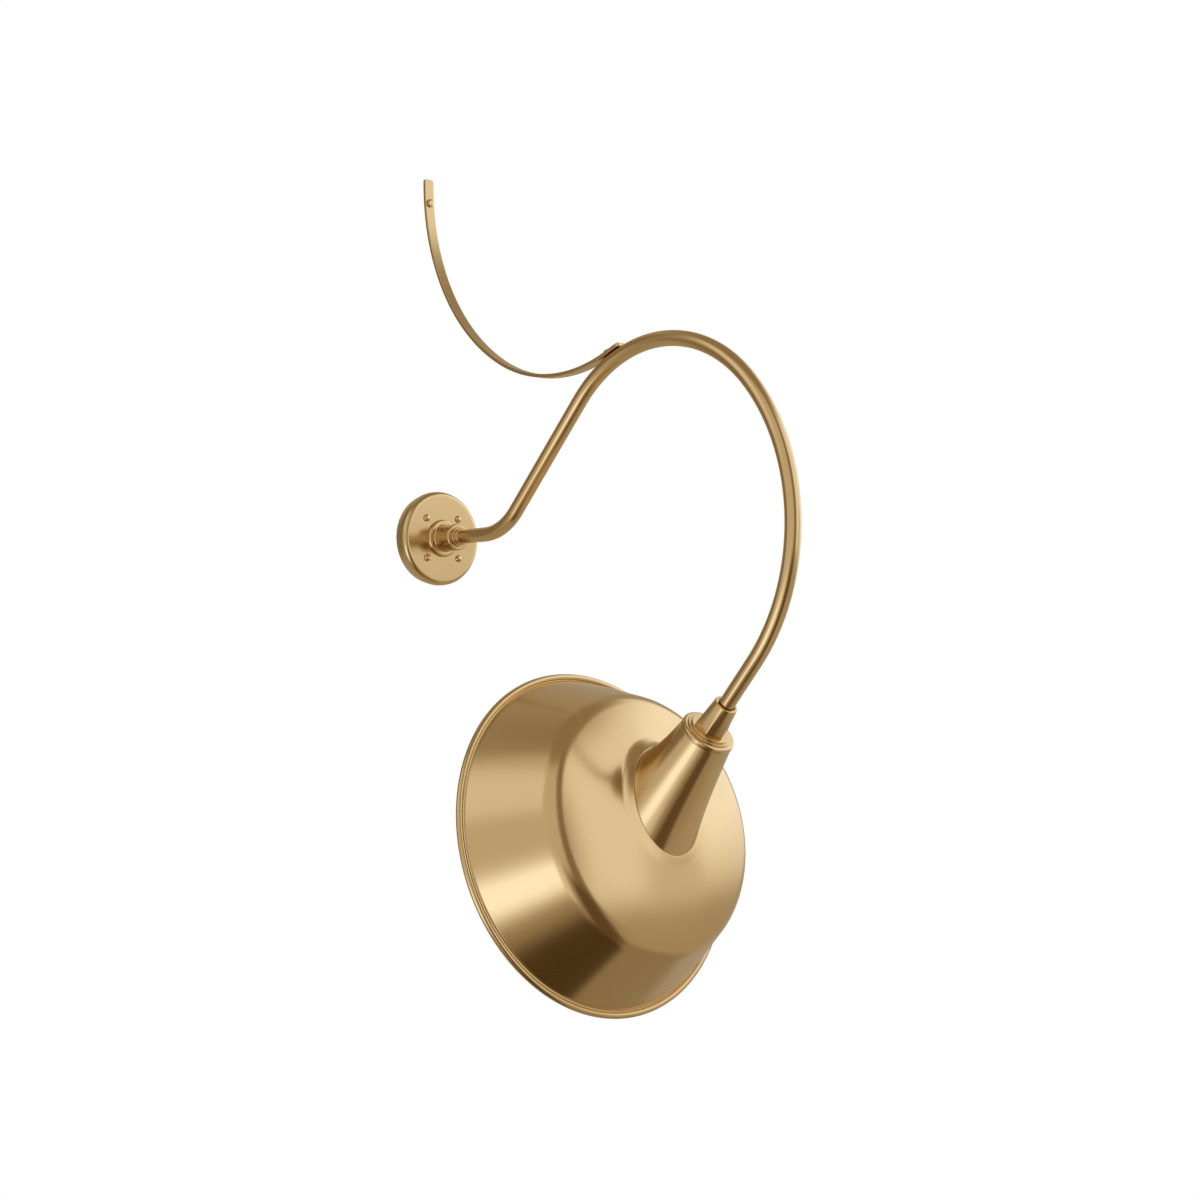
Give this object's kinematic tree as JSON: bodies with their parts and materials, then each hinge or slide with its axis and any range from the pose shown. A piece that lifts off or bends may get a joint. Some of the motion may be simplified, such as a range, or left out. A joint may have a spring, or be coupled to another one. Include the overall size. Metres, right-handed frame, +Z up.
{
  "type": "gooseneck wall light",
  "caption": "Wall light with a bent gooseneck tube, a flat strap brace and a wide angled shade that swivels on the end of the arm.",
  "frame": {"origin": "centre of the mounting bar's two wall-box slots, on the wall's surface, which is also the wall plate's axis", "axes": "+Y into the wall, +Z up, +X to the right of someone who faces the wall; the light stands out along -Y"},
  "size_m": [0.432, 0.6828, 1.0968],
  "materials": {
    "satin_brass": "satin",
    "zinc_steel": "satin",
    "porcelain": "glazed",
    "lamp_glass": "frosted",
    "bright_metal": "satin",
    "copper": "satin",
    "black_insulation": "matte",
    "white_insulation": "matte",
    "green_screw": "satin",
    "foam_rubber": "matte"
  },
  "bodies": {
    "arm": {"wall_plate": "satin_brass", "wall_gasket": "foam_rubber", "mounting_bar": "zinc_steel", "plate_screws": "satin_brass", "ground_screw": "green_screw", "ground_wire": "copper", "hub": "satin_brass", "hub_collar": "satin_brass", "hub_nipple": "zinc_steel", "hub_washer": "zinc_steel", "hub_nut": "zinc_steel", "gooseneck_tube": "satin_brass", "brace_strap": "satin_brass", "strap_wall_screw": "satin_brass", "strap_tube_screw": "satin_brass", "hex_coupling": "satin_brass", "head_washer": "zinc_steel", "head_nut": "zinc_steel", "live_wire": "black_insulation", "neutral_wire": "white_insulation"},
    "head": {"neck_cap": "satin_brass", "neck": "satin_brass", "shade": "satin_brass", "holder_bracket": "zinc_steel", "bracket_screws": "zinc_steel", "holder_screws": "zinc_steel", "lamp_holder": "porcelain", "holder_shell": "copper", "holder_contact": "copper"},
    "lamp": {"lamp_base": "bright_metal", "lamp_glass": "lamp_glass"}
  },
  "joints": [
    {"name": "head_swivel", "type": "hinge", "parent": "arm", "child": "head", "pos_m": [0, -0.51707, -0.25037], "axis": [0, 0.6704, -0.742], "range_deg": [-170, 170]},
    {"name": "lamp_turn", "type": "hinge", "parent": "head", "child": "lamp", "pos_m": [0, -0.51707, -0.25037], "axis": [0, 0.6704, -0.742], "range_deg": [0, 1620]}
  ]
}
